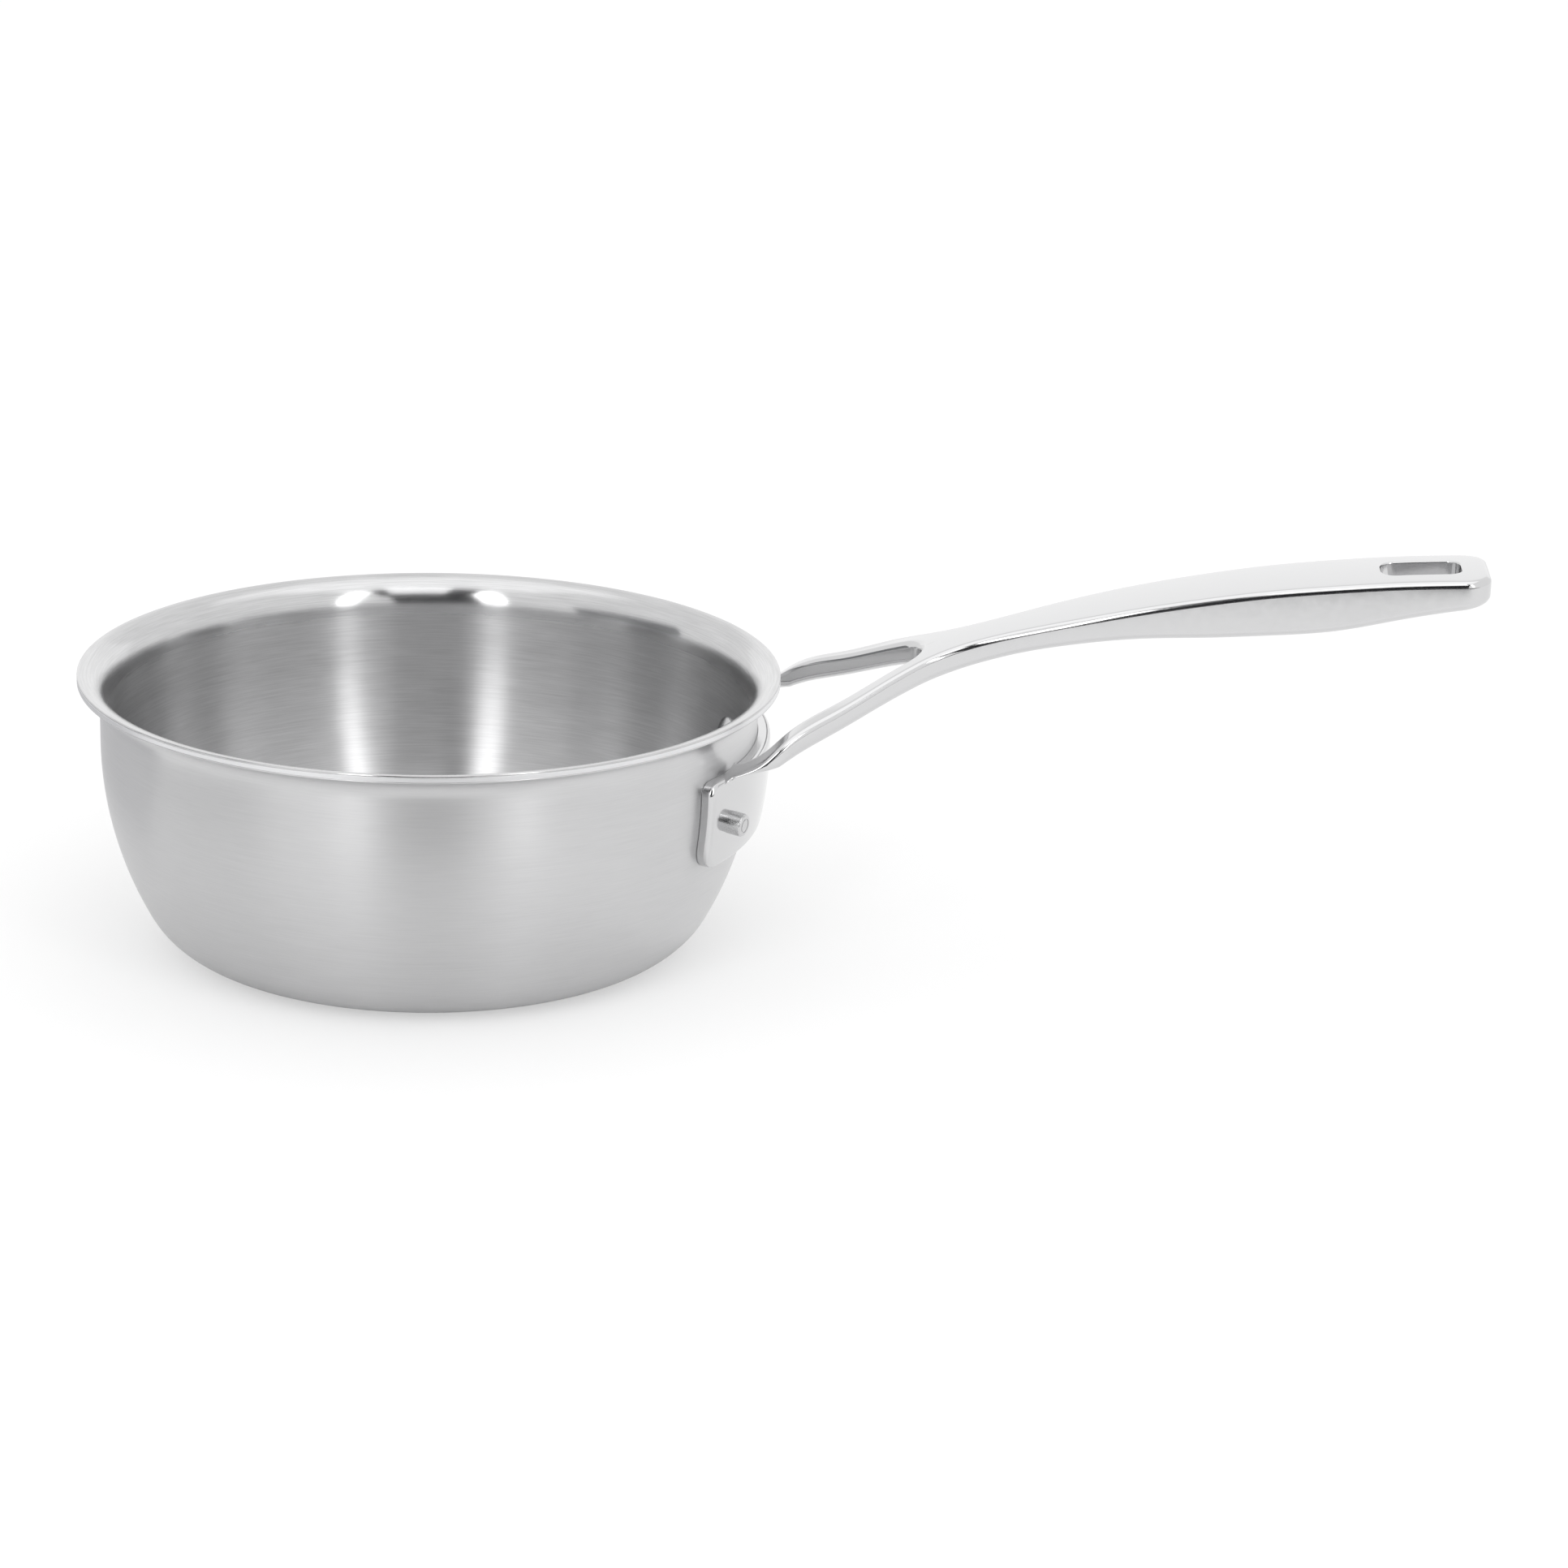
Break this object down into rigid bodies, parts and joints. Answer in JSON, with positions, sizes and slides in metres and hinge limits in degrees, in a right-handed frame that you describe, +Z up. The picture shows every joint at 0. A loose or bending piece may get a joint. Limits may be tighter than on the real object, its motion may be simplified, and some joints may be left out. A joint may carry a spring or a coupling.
{
  "type": "saucier pan",
  "caption": "Round-bellied saucier pan of bonded sheets with a rolled pouring lip and a riveted forked handle that ends in a hanging slot.",
  "frame": {"origin": "on the bowl's axis, in the plane of the flat base that the pan stands on", "axes": "+X along the handle, +Y to the left of the handle, +Z up out of the bowl"},
  "size_m": [0.436, 0.2188, 0.1317],
  "materials": {
    "inner_steel": "brushed round the bowl",
    "core_aluminium": "plain",
    "outer_steel": "satin",
    "polished_casting": "polished",
    "rivet_steel": "satin"
  },
  "bodies": {
    "root": {"inner_ply": "inner_steel", "core_ply": "core_aluminium", "outer_ply": "outer_steel", "handle": "polished_casting", "rivet_left": "rivet_steel", "rivet_right": "rivet_steel"}
  },
  "joints": []
}
